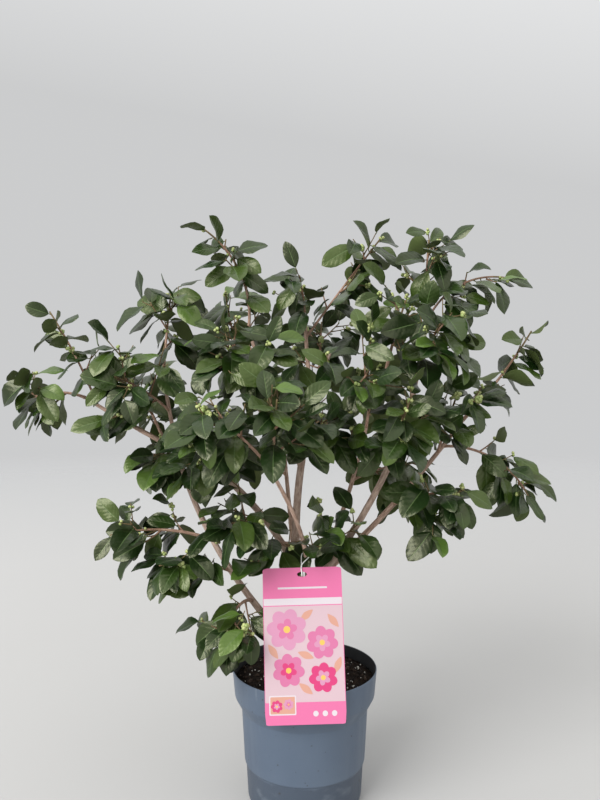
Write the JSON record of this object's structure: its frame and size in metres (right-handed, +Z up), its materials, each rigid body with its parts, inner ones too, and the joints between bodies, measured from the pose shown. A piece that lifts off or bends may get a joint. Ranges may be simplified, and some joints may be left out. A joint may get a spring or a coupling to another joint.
{
  "type": "potted camellia",
  "caption": "Young camellia shrub in a grey plastic nursery pot, with open forked stems, glossy leaves, pale buds and a hung pink plant label.",
  "frame": {"origin": "middle of the pot's flat underside", "axes": "+Z up along the pot's axis, -Y towards the viewer of the picture, +X to that viewer's right"},
  "size_m": [0.7522, 0.4373, 0.7565],
  "materials": {
    "pot": "matte",
    "soil": "matte",
    "bark": "matte",
    "leaf": "satin",
    "label": "satin",
    "tie": "satin"
  },
  "bodies": {
    "root": {"pot": "pot", "soil": "soil", "label": "label", "label_tie": "tie", "trunk": "bark", "mid_stem": "bark", "left_stem": "bark", "left_arm": "bark", "left_bough": "bark", "left_upper_bough": "bark", "right_stem": "bark", "right_top_bough": "bark", "right_outer_stem": "bark", "right_inner_stem": "bark", "mid_left_bough": "bark", "mid_bough": "bark", "mid_right_bough": "bark", "front_bough": "bark", "back_bough": "bark", "left_tip_leaves": "leaf", "left_rise_leaves": "leaf", "left_under_leaves": "leaf", "left_over_leaves": "leaf", "left_top_leaves": "leaf", "left_shoulder_leaves": "leaf", "left_low_leaves": "leaf", "left_skirt_leaves": "leaf", "left_foot_leaves": "leaf", "left_front_leaves": "leaf", "left_inner_leaves": "leaf", "left_high_top_leaves": "leaf", "left_high_front_leaves": "leaf", "left_high_back_leaves": "leaf", "mid_top_leaves": "leaf", "mid_top_right_leaves": "leaf", "mid_right_leaves": "leaf", "mid_right_front_leaves": "leaf", "trunk_front_leaves": "leaf", "trunk_low_leaves": "leaf", "right_crest_leaves": "leaf", "right_arch_leaves": "leaf", "right_top_front_leaves": "leaf", "right_rise_leaves": "leaf", "right_out_front_leaves": "leaf", "right_droop_leaves": "leaf", "right_low_leaves": "leaf", "right_foot_leaves": "leaf", "right_front_leaves": "leaf", "back_tip_leaves": "leaf", "back_left_leaves": "leaf", "back_right_leaves": "leaf", "back_right_low_leaves": "leaf", "back_crown_leaves": "leaf", "left_back_leaves": "leaf", "front_tip_leaves": "leaf", "front_low_leaves": "leaf"}
  },
  "joints": []
}
